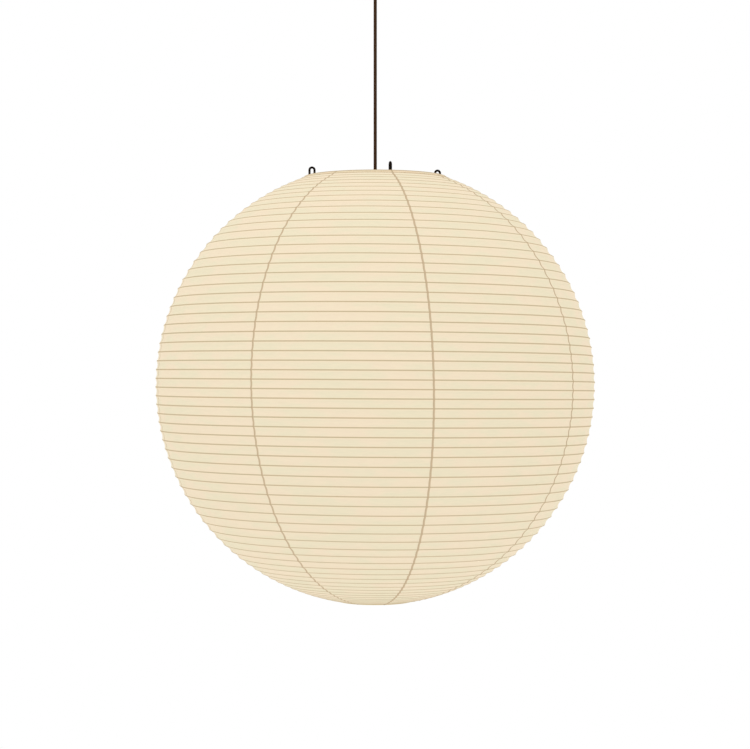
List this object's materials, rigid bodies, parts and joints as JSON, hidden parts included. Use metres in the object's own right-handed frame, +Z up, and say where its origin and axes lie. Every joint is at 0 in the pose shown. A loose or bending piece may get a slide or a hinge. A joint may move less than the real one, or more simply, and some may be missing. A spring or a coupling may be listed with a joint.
{
  "type": "round paper lantern",
  "caption": "Round ceiling lantern of pale paper gores over a spiral rib, held open by a wire frame, hanging on a brown textile cord.",
  "frame": {"origin": "centre of the ceiling plate's top face, which lies against the ceiling", "axes": "+Z up out of the ceiling plate into the ceiling, +X to the right and -Y towards the viewer, whose side is the front"},
  "size_m": [0.7998, 0.7998, 1.2138],
  "materials": {
    "shade_paper": "matte",
    "binding_paper": "matte",
    "bamboo": "satin",
    "frame_wire": "satin",
    "ring_steel": "satin",
    "cord_textile": "matte",
    "brown_plastic": "satin",
    "canopy_lacquer": "satin",
    "zinc_steel": "satin",
    "brass": "satin",
    "porcelain": "satin",
    "opal_glass": "gloss",
    "cap_metal": "satin",
    "black_glass": "gloss"
  },
  "bodies": {
    "ceiling": {"ceiling_plate": "zinc_steel", "ceiling_screw_left": "zinc_steel", "ceiling_screw_right": "zinc_steel", "ceiling_hook": "zinc_steel", "terminal_block": "porcelain"},
    "link": {"hanging_link": "zinc_steel"},
    "hanger": {"hanger_loop": "zinc_steel", "cord_clamp": "brown_plastic", "clamp_screw": "zinc_steel"},
    "pendant": {"cord": "cord_textile", "gland_nut": "brown_plastic", "holder_cap": "brown_plastic", "holder_body": "brown_plastic", "contact_block": "porcelain", "threaded_shell": "brass", "contact_tongue": "brass", "shade_ring_nut": "brown_plastic", "carrier": "frame_wire", "upright_1": "frame_wire", "upright_2": "frame_wire", "upright_3": "frame_wire", "upright_4": "frame_wire", "frame_base_ring": "frame_wire", "bottom_ring": "ring_steel", "bottom_binding": "binding_paper", "paper_gore_1": "shade_paper", "paper_gore_2": "shade_paper", "paper_gore_3": "shade_paper", "paper_gore_4": "shade_paper", "paper_gore_5": "shade_paper", "paper_gore_6": "shade_paper", "paper_gore_7": "shade_paper", "paper_gore_8": "shade_paper", "spiral_rib": "bamboo"},
    "canopy": {"canopy_cup": "canopy_lacquer", "canopy_grip": "brown_plastic", "canopy_grub_screw": "zinc_steel"},
    "shade_top": {"top_ring": "ring_steel", "top_binding": "binding_paper"},
    "bulb_tip": {"bulb_contact": "cap_metal"},
    "bulb": {"bulb_insulator": "black_glass", "bulb_cap": "cap_metal", "bulb_globe": "opal_glass"}
  },
  "joints": [
    {"name": "link_swing", "type": "hinge", "parent": "ceiling", "child": "link", "pos_m": [0, 0, -0.018], "axis": [1, 0, 0], "range_deg": [-7, 7]},
    {"name": "hanger_swing", "type": "hinge", "parent": "link", "child": "hanger", "pos_m": [0, 0, -0.0307], "axis": [0, 1, 0], "range_deg": [-7, 7]},
    {"name": "lantern_turn", "type": "hinge", "parent": "hanger", "child": "pendant", "pos_m": [0, 0, -0.048], "axis": [0, 0, 1], "range_deg": [-180, 180]},
    {"name": "canopy_drop", "type": "slide", "parent": "pendant", "child": "canopy", "axis": [0, 0, -1], "range_m": [0, 0.12]},
    {"name": "shade_fold", "type": "slide", "parent": "pendant", "child": "shade_top", "axis": [0, 0, -1], "range_m": [0, 0.734], "deforming": ["paper_gore_1", "paper_gore_2", "paper_gore_3", "paper_gore_4", "paper_gore_5", "paper_gore_6", "paper_gore_7", "paper_gore_8", "spiral_rib"]},
    {"name": "bulb_drop", "type": "slide", "parent": "pendant", "child": "bulb_tip", "axis": [0, 0, -1], "range_m": [0, 0.01089]},
    {"name": "bulb_turn", "type": "hinge", "parent": "bulb_tip", "child": "bulb", "pos_m": [0, 0, -0.79], "axis": [0, 0, -1], "range_deg": [0, 1080]}
  ],
  "couplings": [
    {"joint": "bulb_drop", "follows": "bulb_turn", "m_per_rad": 0.00057757}
  ]
}
